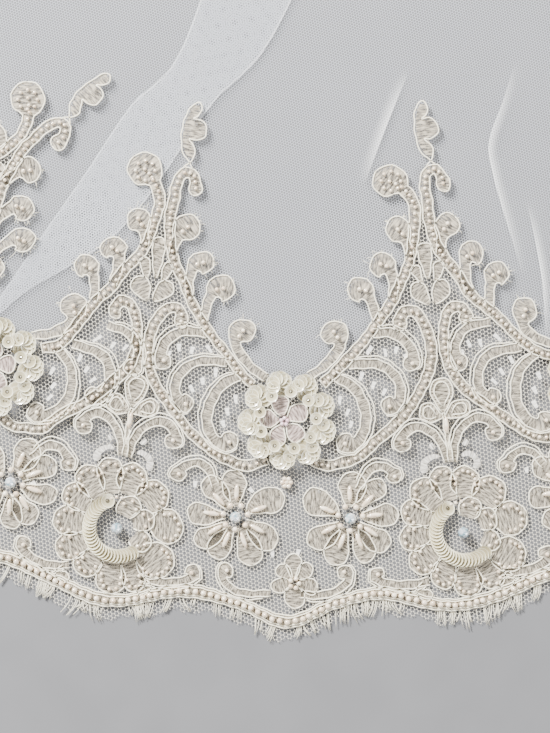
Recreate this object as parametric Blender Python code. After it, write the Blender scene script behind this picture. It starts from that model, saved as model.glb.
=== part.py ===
"""Bridal veil laid out flat on its back: a gathered net body, a beaded lace border,
the border's eyelash fringe, a gather binding and a hair comb.

Metres, +Z up. The veil rests on z = 0 with the comb at +Y and the rounded hem at -Y.
The lace follows a guide line that runs just inside the hem; a place on the veil is
given by a distance along that line, counted in lace repeats from the middle of the
hem, and by a height above the hem, measured square to the line.
"""
import math

import bmesh
import bpy
import numpy

VEIL_LENGTH = 0.980        # fringe at the hem to the tips of the comb's teeth
GAP = 0.0003               # between neighbouring pieces

# Lace border
REPEAT_LENGTH = 0.135      # one repeat of the lace, along the guide line
HALF_REPEATS = 6           # repeats on each side of the middle of the hem
GUIDE_HEIGHT = 0.044       # guide line above the hem
PEAK_HEIGHT = 0.206
VALLEY_HEIGHT = 0.100
PEAK_POWER = 1.1           # 1 is a straight-sided peak, more is a hollow-sided one
SCALLOP_DEPTH = 0.005
LACE_WALL = 0.0012
STEP_START = 0.058         # height where the lace leaves the surface
STEP_END = 0.066           # height where it has reached the net
FRINGE_REACH = 0.008
FRINGE_WALL = 0.0010

# How sharply the guide line turns. The veil lies a little unevenly: it is drawn in more
# on the left of the middle of its hem than on the right.
# Columns: repeats from the middle, degrees turned per repeat
TURNING = (
    (-6.0, 4.0),
    (-4.0, 7.0),
    (-3.0, 10.0),
    (-2.5, 13.0),
    (-2.0, 20.0),
    (-1.5, 36.0),
    (-1.0, 40.0),
    (-0.5, 24.0),
    (0.0, 11.0),
    (0.5, 19.0),
    (1.0, 22.0),
    (1.5, 24.0),
    (2.0, 26.0),
    (2.5, 24.0),
    (3.0, 18.0),
    (4.0, 8.0),
    (6.0, 4.0),
)

# Net body
NET_WALL = 0.0010
NET_EDGE_HEIGHT = 0.068    # where the net ends under the lace, above the hem
CORNER_SHARE = 11 / 12     # share of the half veil's lines that end under the lace
CORNER_HEIGHT = 0.003      # outermost corner of the net, beside the lace's cut end
SIDE_BULGE = 0.050         # how far the free side edges bow outwards

# Height of the gathered net along each line from the comb to the hem.
# Columns: share of the line, height between the folds, height of the folds on top
GATHERS = (
    (0.00, 0.0050, 0.0008),
    (0.06, 0.0046, 0.0050),
    (0.16, 0.0036, 0.0060),
    (0.32, 0.0022, 0.0036),
    (0.46, 0.0014, 0.0012),
    (0.56, 0.0010, 0.0000),
    (1.00, 0.0010, 0.0000),
)
FOLD_COUNTS = (9.0, 5.5)   # two overlapping wave counts, across the whole veil

# The flat pleat that lies across the body, as a smooth curve through these places.
# Columns: x, distance up from the hem's lowest point, half width, height
PLEAT = (
    (-0.022, 0.230, 0.020, 0.0000),
    (0.008, 0.330, 0.023, 0.0012),
    (0.024, 0.450, 0.024, 0.0016),
    (0.024, 0.620, 0.020, 0.0014),
    (0.014, 0.780, 0.012, 0.0000),
)

# Gather binding and comb
BINDING_WIDTH = 0.092
BINDING_DEPTH = 0.009
BINDING_HEIGHT = 0.0075
GATHER_WIDTH = 0.086
COMB_WIDTH = 0.090
COMB_THICKNESS = 0.0024
SPINE_DEPTH = 0.006
TOOTH_COUNT = 20
TOOTH_LENGTH = 0.036
TOOTH_WIDTH = 0.0024
TOOTH_TIP_WIDTH = 0.0012

# Mesh density
COLUMNS_PER_REPEAT = 12
NET_COLUMNS = 72
NET_ROWS = 24
GUIDE_STEPS_PER_REPEAT = 100

HEM_LOW = -VEIL_LENGTH / 2 + FRINGE_REACH
COMB_FOOT = VEIL_LENGTH / 2 - TOOTH_LENGTH - SPINE_DEPTH
GATHER_LINE = COMB_FOOT - BINDING_DEPTH - 2 * GAP

IVORY_NET = (0.86, 0.85, 0.81)
IVORY_LACE = (0.80, 0.76, 0.69)
IVORY_SATIN = (0.84, 0.81, 0.75)
PEARL_PLASTIC = (0.88, 0.86, 0.81)


def clear_scene():
    for item in list(bpy.data.objects):
        bpy.data.objects.remove(item, do_unlink=True)


def material(name, colour, roughness):
    """A plain Principled material."""
    slot = bpy.data.materials.new(name)
    slot.use_nodes = True
    shader = slot.node_tree.nodes["Principled BSDF"]
    shader.inputs["Base Color"].default_value = (*colour, 1.0)
    shader.inputs["Roughness"].default_value = roughness
    shader.inputs["Metallic"].default_value = 0.0
    return slot


def add_object(name, vertices, faces, colour, roughness, smooth_angle):
    """One named object from points and faces, with its normals turned outwards."""
    mesh = bpy.data.meshes.new(name)
    mesh.from_pydata([tuple(map(float, point)) for point in vertices], [], faces)
    shape = bmesh.new()
    shape.from_mesh(mesh)
    bmesh.ops.recalc_face_normals(shape, faces=shape.faces)
    shape.to_mesh(mesh)
    shape.free()
    mesh.materials.append(material(name, colour, roughness))
    mesh.shade_smooth()
    mesh.set_sharp_from_angle(angle=math.radians(smooth_angle))
    piece = bpy.data.objects.new(name, mesh)
    bpy.context.collection.objects.link(piece)
    return piece


def running_sum(values, repeats):
    """Sum of values from the middle of the hem outwards, on both sides."""
    sums = numpy.concatenate([[0.0], numpy.cumsum(values) * (repeats[1] - repeats[0])])
    return sums - numpy.interp(0.0, repeats, sums)


def guide_line():
    """Repeats, points and headings of the guide line, from its left end to its right."""
    steps = 2 * HALF_REPEATS * GUIDE_STEPS_PER_REPEAT
    repeats = numpy.linspace(-HALF_REPEATS, HALF_REPEATS, steps + 1)
    distances, turns = numpy.array(TURNING).T
    turning = numpy.radians(numpy.interp(repeats, distances, turns))
    headings = running_sum((turning[1:] + turning[:-1]) / 2, repeats)
    middle_headings = (headings[1:] + headings[:-1]) / 2
    x = running_sum(numpy.cos(middle_headings) * REPEAT_LENGTH, repeats)
    y = running_sum(numpy.sin(middle_headings) * REPEAT_LENGTH, repeats)
    return repeats, x, y + HEM_LOW + GUIDE_HEIGHT, headings


def veil_points(repeats, heights):
    """Plan positions at a distance along the guide line and a height above the hem."""
    known, x, y, headings = guide_line()
    heading = numpy.interp(repeats, known, headings)
    past_end = (repeats - numpy.clip(repeats, -HALF_REPEATS, HALF_REPEATS)) * REPEAT_LENGTH
    inward = heights - GUIDE_HEIGHT
    across = numpy.interp(repeats, known, x) - numpy.sin(heading) * inward
    along = numpy.interp(repeats, known, y) + numpy.cos(heading) * inward
    across = across + numpy.cos(heading) * past_end
    along = along + numpy.sin(heading) * past_end
    return numpy.stack([across, along], axis=-1)


def hem_heights(repeats):
    """The scalloped hem: two shallow lobes in each repeat, lowest on the two axes."""
    return SCALLOP_DEPTH * numpy.sin(2 * math.pi * repeats) ** 2


def lace_top_heights(repeats):
    """The lace's upper outline: a peak half-way between each two valleys."""
    from_peak = 2 * abs(numpy.mod(repeats, 1.0) - 0.5)
    rise = (1 - from_peak) ** PEAK_POWER
    return VALLEY_HEIGHT + (PEAK_HEIGHT - VALLEY_HEIGHT) * rise


def closed_strip(sections):
    """Vertices and faces of a solid through closed sections, with both ends filled."""
    count = sections.shape[1]
    vertices = sections.reshape(-1, 3)
    faces = []
    for i in range(len(sections) - 1):
        for j in range(count):
            k = (j + 1) % count
            faces.append((i * count + j, i * count + k, (i + 1) * count + k, (i + 1) * count + j))
    last = (len(sections) - 1) * count
    faces.append(tuple(range(count)))
    faces.append(tuple(range(last + count - 1, last - 1, -1)))
    return vertices, faces


def lace_columns():
    return numpy.linspace(-HALF_REPEATS, HALF_REPEATS, 2 * HALF_REPEATS * COLUMNS_PER_REPEAT + 1)


def build_lace():
    """A wall that lies on the surface at the hem and steps up on to the net."""
    repeats = lace_columns()
    low = hem_heights(repeats)
    top = lace_top_heights(repeats)
    flat = numpy.ones_like(repeats)
    rows = (
        (low, 0.0),
        (STEP_START * flat, 0.0),
        (STEP_END * flat, NET_WALL + GAP),
        ((STEP_END + top) / 2, NET_WALL + GAP),
        (top, NET_WALL + GAP),
    )
    under = [numpy.c_[veil_points(repeats, heights), z * flat] for heights, z in rows]
    over = [points + (0.0, 0.0, LACE_WALL) for points in reversed(under)]
    sections = numpy.stack(under + over, axis=1)
    add_object("lace_border", *closed_strip(sections), IVORY_LACE, 0.7, 40)


def build_fringe():
    """The plain reach of the eyelash fringe below the hem."""
    repeats = lace_columns()
    flat = numpy.zeros_like(repeats)
    inner = veil_points(repeats, hem_heights(repeats) - GAP)
    outer = veil_points(repeats, hem_heights(repeats) - FRINGE_REACH)
    corners = (
        numpy.c_[outer, flat],
        numpy.c_[inner, flat],
        numpy.c_[inner, flat + FRINGE_WALL],
        numpy.c_[outer, flat + FRINGE_WALL],
    )
    add_object("hem_fringe", *closed_strip(numpy.stack(corners, axis=1)), IVORY_LACE, 0.8, 40)


def net_edge(across):
    """The net's lower edge: under the lace, then out along each cut end of the lace."""
    past_corner = numpy.clip((abs(across) - CORNER_SHARE) / (1 - CORNER_SHARE), 0.0, 1.0)
    repeats = numpy.clip(abs(across) / CORNER_SHARE, 0.0, 1.0) * HALF_REPEATS
    repeats = repeats + numpy.where(past_corner > 0, GAP / REPEAT_LENGTH, 0.0)
    heights = NET_EDGE_HEIGHT + (CORNER_HEIGHT - NET_EDGE_HEIGHT) * past_corner
    return veil_points(numpy.sign(across) * repeats, heights)


def net_plan(across, share):
    """Plan positions of the net: lines that fan out from the gathers to the lace."""
    start = numpy.stack([across * GATHER_WIDTH / 2, numpy.full_like(across, GATHER_LINE)], axis=-1)
    end = net_edge(across)
    run = end - start
    outward = numpy.stack([-run[..., 1], abs(run[..., 0])], axis=-1)
    outward /= numpy.linalg.norm(outward, axis=-1, keepdims=True)
    outward[..., 0] *= numpy.sign(across)
    bow = SIDE_BULGE * numpy.sin(math.pi * share) * across ** 4
    return start + run * share[..., None] + outward * bow[..., None]


def pleat_height(plan):
    """Height that the flat pleat adds at each plan position."""
    x, up, half_width, height = numpy.array(PLEAT).T
    place = plan[..., 1] - HEM_LOW
    middle = numpy.interp(place, up, x)
    reach = numpy.interp(place, up, half_width)
    rise = numpy.interp(place, up, height, left=0.0, right=0.0)
    return rise * numpy.clip(1.6 * (1 - abs(plan[..., 0] - middle) / reach), 0.0, 1.0)


def net_heights(across, share, plan):
    """Top of the net: gathered folds that open out and fade towards the lace."""
    shares, base, fold = numpy.array(GATHERS).T
    coarse, fine = FOLD_COUNTS
    wave = numpy.cos(math.pi * coarse * across + 0.6) + numpy.cos(2 * math.pi * fine * across)
    ridge = numpy.clip(0.5 + wave / 4, 0.0, 1.0)
    height = numpy.interp(share, shares, base) + numpy.interp(share, shares, fold) * ridge
    return height + pleat_height(plan)


def build_net():
    """A solid with a flat underside and a folded top, closed round its edge."""
    across, share = numpy.meshgrid(
        numpy.linspace(-1.0, 1.0, NET_COLUMNS + 1),
        numpy.linspace(0.0, 1.0, NET_ROWS + 1) ** 1.25,
        indexing="ij",
    )
    plan = net_plan(across, share)
    top = numpy.concatenate([plan, net_heights(across, share, plan)[..., None]], axis=-1)
    index = numpy.arange(top.shape[0] * top.shape[1]).reshape(top.shape[:2])
    faces = [
        (index[i, j], index[i + 1, j], index[i + 1, j + 1], index[i, j + 1])
        for i in range(NET_COLUMNS)
        for j in range(NET_ROWS)
    ]
    # The edge runs down the left side, along the hem and up the right side.
    left = [(0, j) for j in range(NET_ROWS)]
    hem = [(i, NET_ROWS) for i in range(NET_COLUMNS + 1)]
    right = [(NET_COLUMNS, j) for j in range(NET_ROWS - 1, -1, -1)]
    edge = left + hem + right
    gathers = [(i, 0) for i in range(NET_COLUMNS - 1, 0, -1)]
    vertices = list(top.reshape(-1, 3))
    low = {}
    for place in edge + gathers:
        low[place] = len(vertices)
        vertices.append(top[place] * (1.0, 1.0, 0.0))
    loop = edge + gathers
    for here, there in zip(loop, loop[1:] + loop[:1]):
        faces.append((index[here], index[there], low[there], low[here]))
    # The underside is a ladder between the two sides, closed by the row of gathers.
    for i in range(len(edge) // 2):
        rung = (edge[i], edge[i + 1], edge[-i - 2], edge[-i - 1])
        faces.append(tuple(dict.fromkeys(low[place] for place in rung)))
    faces.append(tuple(low[place] for place in [edge[-1]] + gathers + [edge[0]]))
    faces = [tuple(int(k) for k in face) for face in faces]
    add_object("tulle_body", vertices, faces, IVORY_NET, 0.85, 35)


def build_binding():
    """The ribbon that holds the gathers: flat below, rounded above."""
    angles = numpy.linspace(0.0, math.pi, 9)
    middle = GATHER_LINE + GAP + BINDING_DEPTH / 2
    y = middle + BINDING_DEPTH / 2 * numpy.cos(angles)
    z = BINDING_HEIGHT * numpy.sin(angles) ** 0.5
    x = numpy.array([-BINDING_WIDTH / 2, BINDING_WIDTH / 2])
    sections = numpy.stack([numpy.c_[numpy.full_like(y, end), y, z] for end in x])
    add_object("gather_binding", *closed_strip(sections), IVORY_SATIN, 0.45, 40)


def comb_outline():
    """The comb seen from above: a spine with tapered, blunt teeth."""
    half = COMB_WIDTH / 2
    tooth_root = COMB_FOOT + SPINE_DEPTH
    tooth_end = tooth_root + TOOTH_LENGTH
    points = [(-half, COMB_FOOT), (half, COMB_FOOT)]
    for centre in numpy.linspace(half - TOOTH_WIDTH / 2, TOOTH_WIDTH / 2 - half, TOOTH_COUNT):
        points += [
            (centre + TOOTH_WIDTH / 2, tooth_root),
            (centre + TOOTH_TIP_WIDTH / 2, tooth_end - TOOTH_TIP_WIDTH),
            (centre + TOOTH_TIP_WIDTH / 5, tooth_end),
            (centre - TOOTH_TIP_WIDTH / 5, tooth_end),
            (centre - TOOTH_TIP_WIDTH / 2, tooth_end - TOOTH_TIP_WIDTH),
            (centre - TOOTH_WIDTH / 2, tooth_root),
        ]
    return numpy.array(points)


def build_comb():
    outline = comb_outline()
    levels = [numpy.c_[outline, numpy.full(len(outline), z)] for z in (0.0, COMB_THICKNESS)]
    add_object("comb", *closed_strip(numpy.stack(levels)), PEARL_PLASTIC, 0.25, 30)


def centre_plan():
    """Moves every piece sideways so that the origin is the middle of the veil's width."""
    pieces = [item for item in bpy.data.objects if item.type == "MESH"]
    ends = [vertex.co.x for piece in pieces for vertex in piece.data.vertices]
    middle = (min(ends) + max(ends)) / 2
    for piece in pieces:
        for vertex in piece.data.vertices:
            vertex.co.x -= middle


clear_scene()
build_net()
build_lace()
build_fringe()
build_binding()
build_comb()
centre_plan()
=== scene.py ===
import math

import bmesh
import bpy
import numpy as np
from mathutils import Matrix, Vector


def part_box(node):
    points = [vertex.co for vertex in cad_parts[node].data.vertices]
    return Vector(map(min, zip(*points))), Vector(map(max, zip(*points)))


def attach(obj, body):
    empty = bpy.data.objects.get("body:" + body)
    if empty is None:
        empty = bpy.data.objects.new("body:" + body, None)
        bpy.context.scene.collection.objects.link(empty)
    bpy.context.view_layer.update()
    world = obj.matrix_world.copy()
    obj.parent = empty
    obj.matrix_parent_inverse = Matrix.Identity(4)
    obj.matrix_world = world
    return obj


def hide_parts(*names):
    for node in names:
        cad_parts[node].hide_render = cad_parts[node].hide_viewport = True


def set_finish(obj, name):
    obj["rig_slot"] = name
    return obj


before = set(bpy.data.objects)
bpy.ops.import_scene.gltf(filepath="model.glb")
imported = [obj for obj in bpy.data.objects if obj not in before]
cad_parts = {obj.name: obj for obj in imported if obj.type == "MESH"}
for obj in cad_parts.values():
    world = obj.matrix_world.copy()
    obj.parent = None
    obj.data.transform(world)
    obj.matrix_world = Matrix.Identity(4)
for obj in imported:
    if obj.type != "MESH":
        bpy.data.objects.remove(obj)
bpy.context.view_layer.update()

# The outline: the veil lies flat, and everything on it is placed from the guide line
# that runs just inside the hem, and from the axes of the lace's peaks and valleys.
MM = 0.001
REPEAT = 135 * MM
HALF_REPEATS = 6
GUIDE_HEIGHT = 44 * MM
GUIDE_STEPS = 200
# The lace's face: its level by the hem, and its step up on to the net's edge
LACE_FACE = 0.9 * MM
STEP_UP = 1.4 * MM
STEP_START = 56 * MM
STEP_LENGTH = 12 * MM
hem_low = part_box("lace_border")[0][1]

# Columns: repeats from the middle of the hem, degrees turned per repeat
TURNING = (
    (-6.0, 4.0), (-4.0, 7.0), (-3.0, 10.0), (-2.5, 13.0), (-2.0, 20.0), (-1.5, 36.0),
    (-1.0, 40.0), (-0.5, 24.0), (0.0, 11.0), (0.5, 19.0), (1.0, 22.0), (1.5, 24.0),
    (2.0, 26.0), (2.5, 24.0), (3.0, 18.0), (4.0, 8.0), (6.0, 4.0),
)
middle_x = (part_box("gather_binding")[0][0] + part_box("gather_binding")[1][0]) / 2


def running_sum(values, repeats):
    """Sum of values from the middle of the hem outwards, on both sides."""
    sums = np.concatenate([[0], np.cumsum(values) * (repeats[1] - repeats[0])])
    return sums - np.interp(0, repeats, sums)


def guide_line():
    """Repeats, x, y and heading of the guide line: the heading is the running sum of
    the turning, and the place is the running sum of the heading's cosine and sine."""
    repeats = np.linspace(-HALF_REPEATS, HALF_REPEATS, HALF_REPEATS * GUIDE_STEPS + 1)
    distances, turns = np.array(TURNING).T
    turning = np.radians(np.interp(repeats, distances, turns))
    heading = running_sum((turning[1:] + turning[:-1]) / 2, repeats)
    middle = (heading[1:] + heading[:-1]) / 2
    x = running_sum(np.cos(middle) * REPEAT, repeats) + middle_x
    y = running_sum(np.sin(middle) * REPEAT, repeats) + hem_low + GUIDE_HEIGHT
    return repeats, x, y, heading


def veil_points(repeats, heights):
    """Plan places: the guide line's point moved square to it by the height above it.
    Past the lace's end the guide line goes on straight."""
    known, x, y, headings = guide_line()
    heading = np.interp(repeats, known, headings)
    past_end = (repeats - np.clip(repeats, -HALF_REPEATS, HALF_REPEATS)) * REPEAT
    inward = heights - GUIDE_HEIGHT
    across = np.interp(repeats, known, x) - np.sin(heading) * inward + np.cos(heading) * past_end
    along = np.interp(repeats, known, y) + np.cos(heading) * inward + np.sin(heading) * past_end
    return np.stack([across, along], axis=-1)


def axis_frames(repeats, sides=1.0):
    """Hem point, direction along the hem (the other way round where sides is -1) and
    direction up the veil at each axis."""
    foot = veil_points(repeats, np.zeros_like(repeats))
    up = veil_points(repeats, np.ones_like(repeats)) - foot
    along = np.stack([up[:, 1], -up[:, 0]], axis=-1) * np.reshape(sides, (-1, 1))
    return foot, along, up


def lace_level(height):
    """Level of the lace's face over the table at a height above the hem."""
    step = np.clip((height - STEP_START) / STEP_LENGTH, 0, 1)
    return LACE_FACE + STEP_UP * step * step * (3 - 2 * step)


# Half a repeat runs from a peak axis to the next valley axis, to one side or the other.
peaks = np.repeat(np.arange(-HALF_REPEATS, HALF_REPEATS) + 0.5, 2)
sides = np.tile([1.0, -1.0], 2 * HALF_REPEATS)
from_peak = axis_frames(peaks, sides)
from_valley = axis_frames(peaks + sides / 2, -sides)


def near(axes, x, y):
    """Places on the lace's face, x mm along from each axis and y mm up."""
    foot, along, up = axes
    plan = foot + np.reshape(x, (-1, 1)) * MM * along + y * MM * up
    return np.c_[plan, np.full(len(plan), lace_level(y * MM))]


def half_repeat_line(peak_places, valley_places=()):
    """Control points (half repeats, points, 3) of a line that starts on the peak's
    places and goes on through the valley's."""
    places = [near(from_peak, x, y) for x, y in peak_places]
    places += [near(from_valley, x, y) for x, y in valley_places]
    return np.stack(places, axis=1)


def curve_through(points, samples=24):
    """Catmull-Rom curve through control points (lines, k, 3), and how far along it each
    sample is, as a mean over the lines."""
    first = 2 * points[:, :1] - points[:, 1:2]
    last = 2 * points[:, -1:] - points[:, -2:-1]
    padded = np.concatenate([first, points, last], axis=1)
    t = np.linspace(0, points.shape[1] - 1, samples * (points.shape[1] - 1) + 1)
    i = np.minimum(t.astype(int), points.shape[1] - 2)
    f = (t - i)[:, None]
    a, b, c, d = (padded[:, i + k] for k in range(4))
    curve = b + f * (c - a) / 2 + f ** 2 * (a - 2.5 * b + 2 * c - d / 2)
    curve = curve + f ** 3 * (1.5 * (b - c) + (d - a) / 2)
    steps = np.linalg.norm(np.diff(curve, axis=1), axis=-1).mean(axis=0)
    return curve, np.concatenate([[0], np.cumsum(steps)])


def along_curve(curve, lengths, distances):
    """Points at these distances along a sampled curve."""
    place = np.interp(distances, lengths, np.arange(len(lengths)))
    low = np.minimum(place.astype(int), len(lengths) - 2)
    part = (place - low)[:, None]
    return curve[:, low] * (1 - part) + curve[:, low + 1] * part


# The free edge of the lace is the line of the two pearled stems of each peak: from the
# tip down, in mm from the peak axis, and then in mm from the valley axis
STEM_TOP = [(2.6, 158.0), (4.6, 147.5), (7.4, 140.5), (12.0, 133.0), (16.0, 125.5), (22.0, 118.5)]
STEM_FOOT = [(20.5, 100.5), (13.6, 94.2)]
upper_edge = half_repeat_line([(0.0, 170.0)] + STEM_TOP, STEM_FOOT[:1] + [(8.0, 97.0), (0.0, 96.0)])


# The body: one layer of fine hexagonal net, cut to the lace's upper edge at the hem and
# gathered at the top. It is a single skin on its solid's form, with the gathers' folds.
NET_COLOUR = (0.62, 0.64, 0.68)
NET_PITCH = 1.1 * MM
NET_TURN = 0.2
GATHER_WIDTH = 86 * MM
SIDE_BULGE = 50 * MM
CORNER_SHARE = 11 / 12
CORNER_HEIGHT = 3 * MM
EDGE_HEIGHT = 68 * MM
EDGE_STEP = 0.9 * MM
SNAP = 2.8 * MM
FINE_FROM = 0.58
# Columns: share of the way to the hem, level in mm, height of the folds in mm
GATHERS = (
    (0.00, 5.0, 0.8),
    (0.06, 4.6, 5.0),
    (0.16, 3.6, 6.0),
    (0.32, 2.2, 3.6),
    (0.46, 1.4, 1.2),
    (0.56, 1.0, 0.0),
    (1.00, 1.0, 0.0),
)
FOLD_COUNTS = (9.0, 5.5)
gather_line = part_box("tulle_body")[1][1]


def mesh_piece(name, vertices, face_sets, material, slot, uv=None):
    """A mesh object from a vertex array and arrays of faces, each of one corner count."""
    mesh = bpy.data.meshes.new(name)
    corners = np.concatenate([np.asarray(faces).ravel() for faces in face_sets])
    counts = np.concatenate([np.full(len(faces), faces.shape[1]) for faces in face_sets])
    mesh.vertices.add(len(vertices))
    mesh.vertices.foreach_set("co", np.asarray(vertices, dtype=np.float32).ravel())
    mesh.loops.add(len(corners))
    mesh.loops.foreach_set("vertex_index", corners.astype(np.int32))
    mesh.polygons.add(len(counts))
    mesh.polygons.foreach_set("loop_start", np.r_[0, np.cumsum(counts)[:-1]].astype(np.int32))
    mesh.polygons.foreach_set("use_smooth", np.full(len(counts), True))
    if uv is not None:
        layer = mesh.uv_layers.new(name="UVMap")
        layer.uv.foreach_set("vector", uv[corners].astype(np.float32).ravel())
    mesh.update(calc_edges=True)
    mesh.validate()
    mesh.materials.append(material)
    piece = bpy.data.objects.new(name, mesh)
    bpy.context.collection.objects.link(piece)
    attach(piece, "root")
    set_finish(piece, slot)
    return piece


def grid_faces(rows, columns):
    """Quads between neighbouring rows and columns of a grid of points."""
    index = np.arange(rows * columns).reshape(rows, columns)
    quads = [index[:-1, :-1], index[1:, :-1], index[1:, 1:], index[:-1, 1:]]
    return np.stack(quads, axis=-1).reshape(-1, 4)


def finish(name, colour, roughness, **sockets):
    """A Principled material; its tree and shader come back for what is added to it."""
    material = bpy.data.materials.new(name)
    material.use_nodes = True
    shader = material.node_tree.nodes["Principled BSDF"]
    shader.inputs["Base Color"].default_value = (*colour, 1)
    shader.inputs["Roughness"].default_value = roughness
    for socket, value in sockets.items():
        shader.inputs[socket.replace("_", " ")].default_value = value
    return material, material.node_tree, shader


def node(tree, kind, output, inputs, operation=None):
    """An output of a new node. Each of its inputs, by name or number, is given a value or
    the output of another node."""
    made = tree.nodes.new("ShaderNode" + kind)
    if operation:
        made.operation = operation
    for socket, value in inputs.items():
        if isinstance(value, bpy.types.NodeSocket):
            tree.links.new(value, made.inputs[socket])
        else:
            made.inputs[socket].default_value = value
    return made.outputs[output]


def math_node(tree, operation, *values):
    """The output of a Math node on one or two values."""
    return node(tree, "Math", 0, dict(enumerate(values)), operation)


def net_cover(tree, pitch, turn, hole_level):
    """Thread cover of a hexagonal net: the sum of three cosines, 60 degrees apart, peaks
    in the middle of each hole, and the threads are where it is under hole_level."""
    place = node(tree, "TexCoord", "Object", {})
    pull = 4 * math.pi / (math.sqrt(3) * pitch)
    total = 0.0
    for degrees in (0, 60, 120):
        angle = math.radians(degrees) + turn
        wave = (pull * math.cos(angle), pull * math.sin(angle), 0)
        phase = node(tree, "VectorMath", "Value", {0: place, 1: wave}, "DOT_PRODUCT")
        total = math_node(tree, "ADD", total, math_node(tree, "COSINE", phase))
    limits = {"From Min": hole_level + 0.08, "From Max": hole_level - 0.08, "Value": total}
    return node(tree, "MapRange", "Result", limits)


def net_finish(name, colour, pitch, turn, hole_level, thread_cover=1.0):
    """Net: matt thread where the cover is 1, nothing where it is 0."""
    material, tree, shader = finish(name, colour, 0.75, Sheen_Weight=0.25)
    cover = net_cover(tree, pitch, turn, hole_level)
    tree.links.new(math_node(tree, "MULTIPLY", cover, thread_cover), shader.inputs["Alpha"])
    return material


def net_edge(across):
    """The net's lower edge: a fixed height above the hem, then out along the lace's ends."""
    past_corner = np.clip((abs(across) - CORNER_SHARE) / (1 - CORNER_SHARE), 0, 1)
    repeats = np.clip(abs(across) / CORNER_SHARE, 0, 1) * HALF_REPEATS
    repeats = repeats + np.where(past_corner > 0, 0.3 * MM / REPEAT, 0)
    heights = EDGE_HEIGHT + (CORNER_HEIGHT - EDGE_HEIGHT) * past_corner
    return veil_points(np.sign(across) * repeats, heights)


def net_rise(across, share):
    """Height of the net between and on the gathers' folds, which fade to the hem."""
    shares, base, fold = np.array(GATHERS).T
    coarse, fine = FOLD_COUNTS
    wave = np.cos(math.pi * coarse * across + 0.6) + np.cos(2 * math.pi * fine * across)
    ridge = np.clip(0.5 + wave / 4, 0, 1)
    return (np.interp(share, shares, base) + np.interp(share, shares, fold) * ridge) * MM


def net_plan(across, share):
    """Lines that fan out from the gathers to the lower edge; the outer ones bow out."""
    start = np.stack([across * GATHER_WIDTH / 2, np.full_like(across, gather_line)], axis=-1)
    start[..., 0] += middle_x
    end = net_edge(across)
    run = end - start
    outward = np.stack([-run[..., 1] * np.where(across < 0, -1, 1), abs(run[..., 0])], axis=-1)
    outward /= np.linalg.norm(outward, axis=-1, keepdims=True)
    bow = SIDE_BULGE * np.sin(math.pi * share) * across ** 4
    return start + run * share[..., None] + outward * bow[..., None]


def to_edge(plan):
    """Nearest place on the lace's upper edge, its distance, and whether the point is in
    the lace: a line from it towards +X crosses the lace's outline an odd number of times."""
    curve, lengths = curve_through(upper_edge)
    lines = list(along_curve(curve, lengths, np.arange(0, lengths[-1], EDGE_STEP))[..., :2])
    ends = np.linspace(HALF_REPEATS, -HALF_REPEATS, 200)
    hem = [veil_points(ends, np.zeros(200))]
    # The edge as one loop: each peak's left line reversed, its right line, and the hem
    order = [line for k in range(0, len(lines), 2) for line in (lines[k + 1][::-1], lines[k])]
    outline = np.concatenate(order + hem)
    best = np.full(plan.shape[:-1], 1.0)
    nearest = np.zeros_like(plan)
    for line in lines:
        gap = np.linalg.norm(plan[..., None, :] - line, axis=-1)
        index = gap.argmin(axis=-1)
        distance = np.take_along_axis(gap, index[..., None], -1)[..., 0]
        closer = distance < best
        best = np.where(closer, distance, best)
        nearest[closer] = line[index][closer]
    crossings = np.zeros(best.shape, dtype=int)
    starts, stops = outline, np.roll(outline, -1, axis=0)
    for part in np.array_split(np.arange(len(outline)), 24):
        (x1, y1), (x2, y2) = starts[part].T, stops[part].T
        x, y = plan[..., 0, None], plan[..., 1, None]
        spans = (y1 > y) != (y2 > y)
        cross_x = x1 + (y - y1) * (x2 - x1) / np.where(y2 == y1, 1, y2 - y1)
        crossings += (spans & (x < cross_x)).sum(axis=-1)
    return nearest, best, crossings % 2 == 1


# The grid is finer near the lace, and its points there move on to the lace's upper edge
rows = np.concatenate([np.linspace(0, FINE_FROM, 46)[:-1], np.linspace(FINE_FROM, 1, 66)])
columns = np.concatenate([
    np.linspace(-1, -CORNER_SHARE, 13)[:-1],
    np.linspace(-CORNER_SHARE, CORNER_SHARE, 12 * 30 + 1),
    np.linspace(CORNER_SHARE, 1, 13)[1:],
])
across, share = np.meshgrid(columns, rows, indexing="ij")
plan = net_plan(across, share)
by_lace = share[0] >= FINE_FROM
nearest, distance, inside = to_edge(plan[:, by_lace])
plan[:, by_lace] = np.where((distance < SNAP)[..., None], nearest, plan[:, by_lace])
net = np.concatenate([plan, net_rise(across, share)[..., None]], axis=-1)
under_lace = np.zeros(share.shape, dtype=bool)
under_lace[:, by_lace] = inside & (distance > SNAP)
faces = grid_faces(*share.shape)[:, ::-1]
faces = faces[~under_lace.ravel()[faces].any(axis=1)]
net_body = mesh_piece(
    "net_body", net.reshape(-1, 3), [faces],
    net_finish("fine_net", NET_COLOUR, NET_PITCH, NET_TURN, -0.9, 0.68), "tulle_body",
)
loose = bmesh.new()
loose.from_mesh(net_body.data)
bmesh.ops.delete(loose, geom=[v for v in loose.verts if not v.link_faces], context="VERTS")
loose.to_mesh(net_body.data)
loose.free()
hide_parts("tulle_body")


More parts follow.
